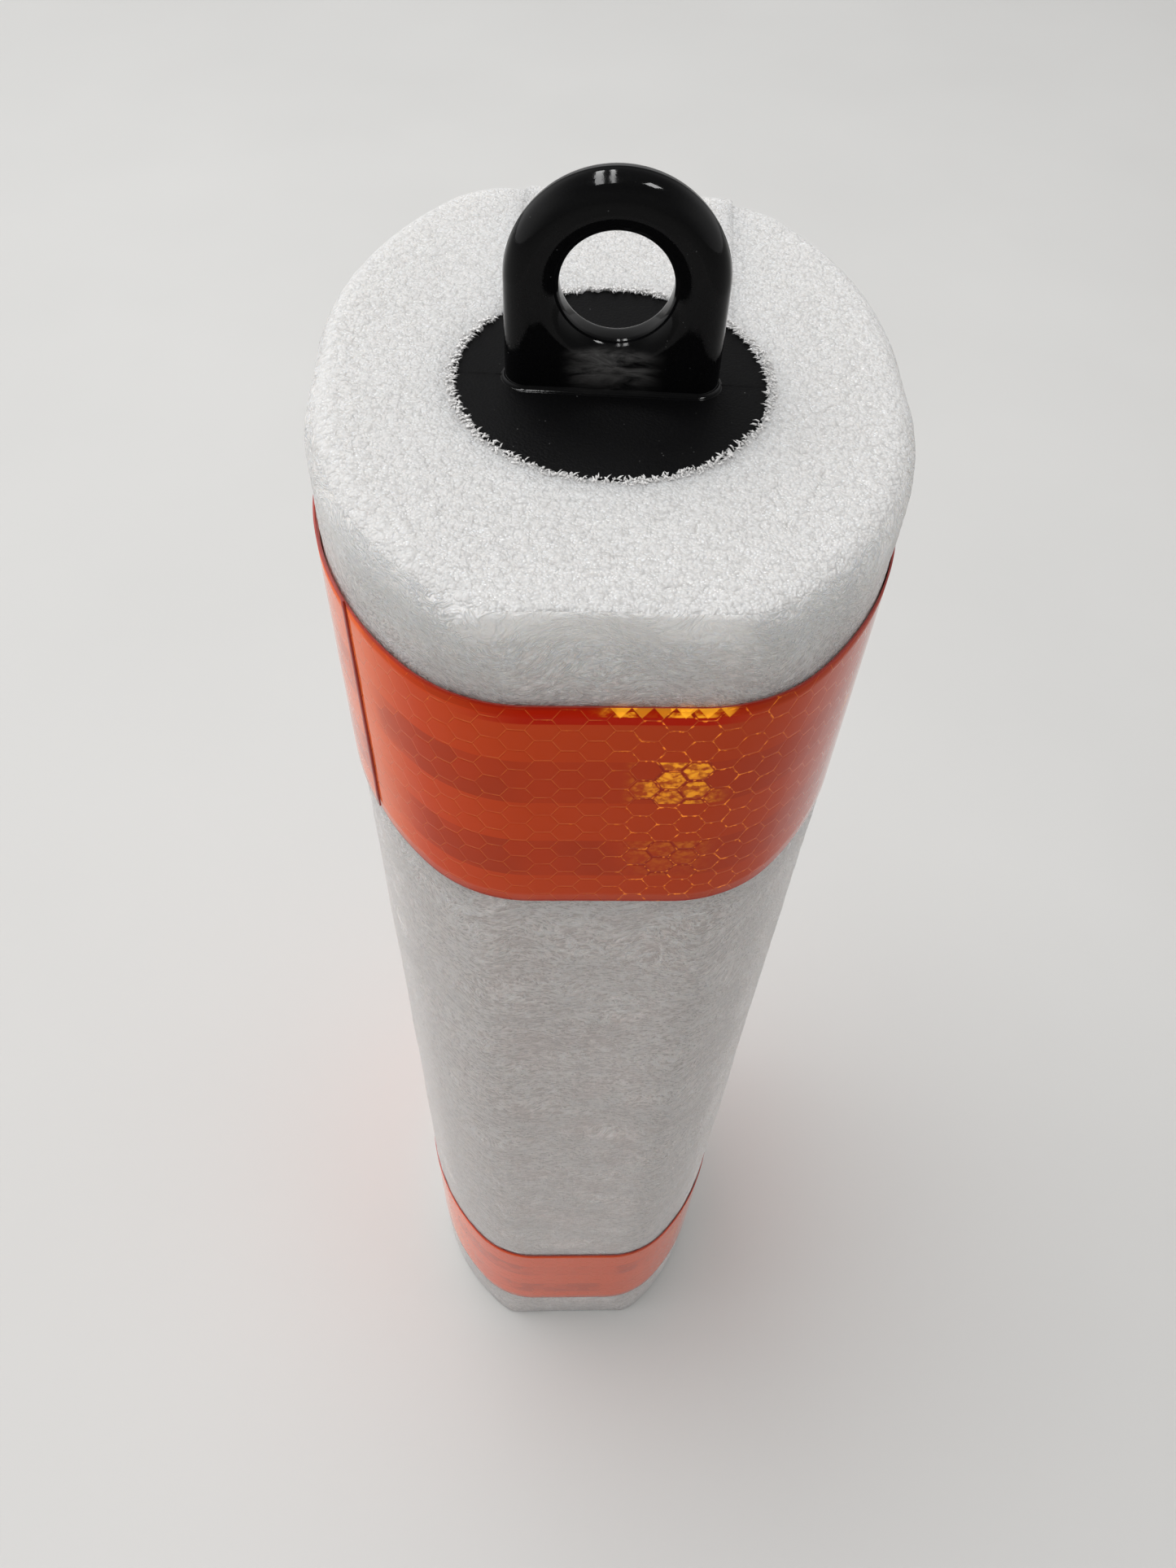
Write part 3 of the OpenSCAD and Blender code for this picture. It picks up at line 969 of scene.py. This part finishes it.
def band(name, circle, seam, lap, seed):
    """One strip of tape from its hidden start, once round and over its own start."""
    low = BANDS[name][0].z
    start = length_at(circle, math.radians(seam)) - lap
    total = ROUND + lap
    steps = sorted({round(l - start, 6) % ROUND for l in lengths[:-1]})
    marks = steps + [s + ROUND for s in steps if s < lap]
    marks = sorted(set([0.0] + marks + [total - 1.0 * MM, total - 0.95 * MM, total]))
    marks = [m for m, after in zip(marks, marks[1:] + [1]) if after - m > 0.01 * MM]
    rows = 20
    columns = []
    for mark in marks:
        x, y, facing = on_wrap(start + mark)
        out = Vector((*turned(math.cos(facing), math.sin(facing), SLEEVE_TURN), 0))
        base = Vector((*turned(x, y, SLEEVE_TURN), 0))
        over = eased((mark - (ROUND - 4 * MM)) / (4 * MM))
        drop = (0.55 - 0.75 * mark / total) * MM
        face, behind = [], []
        for row in range(rows + 1):
            rise = TAPE_WIDE * row / rows
            z = low + rise - drop * (1 if mark < ROUND / 2 else 0.4)
            wave = noise.noise(Vector((mark * 45, rise * 60, seed))) * 0.10 * MM
            near = base + out * (0.03 * MM + over * (TAPE_THICK + 0.03 * MM) + abs(wave))
            near.z = z
            behind.append((near, mark, rise))
            face.append((near + out * TAPE_THICK, mark, rise))
        columns.append(face + behind[::-1])
    mesh = bmesh.new()
    uv = mesh.loops.layers.uv.new("tape")
    grid = [[mesh.verts.new(point) for point, _, _ in column] for column in columns]
    size = len(grid[0])
    for i in range(len(grid) - 1):
        for row in range(size):
            after = (row + 1) % size
            corners = ((i, row), (i + 1, row), (i + 1, after), (i, after))
            face = mesh.faces.new([grid[a][b] for a, b in corners])
            flat = row not in (rows, size - 1)
            face.smooth = flat
            at_end = columns[i][row][1] >= total - 1.05 * MM
            face.material_index = 1 if at_end or not flat else 0
            for loop, (a, b) in zip(face.loops, corners):
                loop[uv].uv = (columns[a][b][1], columns[a][b][2])
    for ring in (grid[0], grid[-1][::-1]):
        for row in range(rows):
            face = mesh.faces.new((ring[row], ring[row + 1], ring[size - 2 - row], ring[size - 1 - row]))
            face.material_index = 1
    bmesh.ops.recalc_face_normals(mesh, faces=mesh.faces)
    piece = placed(name + "_tape", mesh, [tape, tape_end])
    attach(piece, "root")
    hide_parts(name)


LAP = 24 * MM
band("upper_band", SHOULDER[1], seam=209, lap=LAP, seed=3)
band("lower_band", FLANK[0], seam=25.7, lap=LAP, seed=8)

# ---- Floor -------------------------------------------------------------------
# A plain pale floor, wide enough to fill every view. It lies a hair under the foot,
# so that the two never share a plane.
material, start, shader = finish_of("floor_pale", Specular_IOR_Level=0.3)
place = start.place()
cloud = place.noise(5, 4)
feed(start, shader,
     Base_Color=cloud.tint(rgb(0.665, 0.66, 0.645), rgb(0.725, 0.72, 0.705)),
     Roughness=cloud.fade(0.2, 0.8, 0.55, 0.7))
mesh = bmesh.new()
bmesh.ops.create_grid(mesh, x_segments=4, y_segments=4, size=6)
floor = placed("floor", mesh, [material])
floor.location.z = -0.1 * MM

# ---- Lights ------------------------------------------------------------------
# A broad ceiling of soft light that doesn't show in gloss, a pale room all round, and
# two tubes and a small panel that only show in gloss, for the shine on the eye.
scene.world = bpy.data.worlds.new("room")
scene.world.use_nodes = True
room = Wire(scene.world.node_tree)
shader = scene.world.node_tree.nodes["Background"]
shader.inputs["Color"].default_value = rgb(0.98, 0.98, 0.98)
aside, ahead, above = room.node("TexCoord", {}, {}).parts()
feed(room, shader, Strength=ahead.fade(-1.0, 0.0, 0.33, 0.60) * aside.fade(-1.0, 1.0, 1.32, 1.08)
     * abs(aside).fade(0.45, 0.95, 1.0, 2.05) * above.fade(0.35, 0.85, 1.0, 0.45))


def panel(name, place, target, wide, tall, power):
    """A rectangular lamp at a place, turned towards its target."""
    light = bpy.data.lights.new(name, "AREA")
    light.shape = "RECTANGLE"
    light.size, light.size_y = wide, tall
    light.energy = power
    lamp = bpy.data.objects.new(name, light)
    lamp.location = place
    lamp.rotation_euler = (Vector(target) - Vector(place)).to_track_quat("-Z", "X").to_euler()
    scene.collection.objects.link(lamp)
    return lamp


ceiling = panel("ceiling", (-0.6, 0.45, 2.0), (0, 0, 0.2), 1.8, 1.8, 27)
ceiling.visible_glossy = False
for shine in (panel("tube_left", (-0.30, 0.13, 1.35), (0, 0.13, 0.38), 0.11, 1.2, 11.0),
              panel("tube_middle", (-0.12, 0.13, 1.37), (0, 0.13, 0.38), 0.06, 1.2, 6.0),
              panel("panel_right", (0.39, -0.19, 1.27), (0, 0, 0.38), 0.18, 0.20, 4.5)):
    shine.visible_diffuse = False
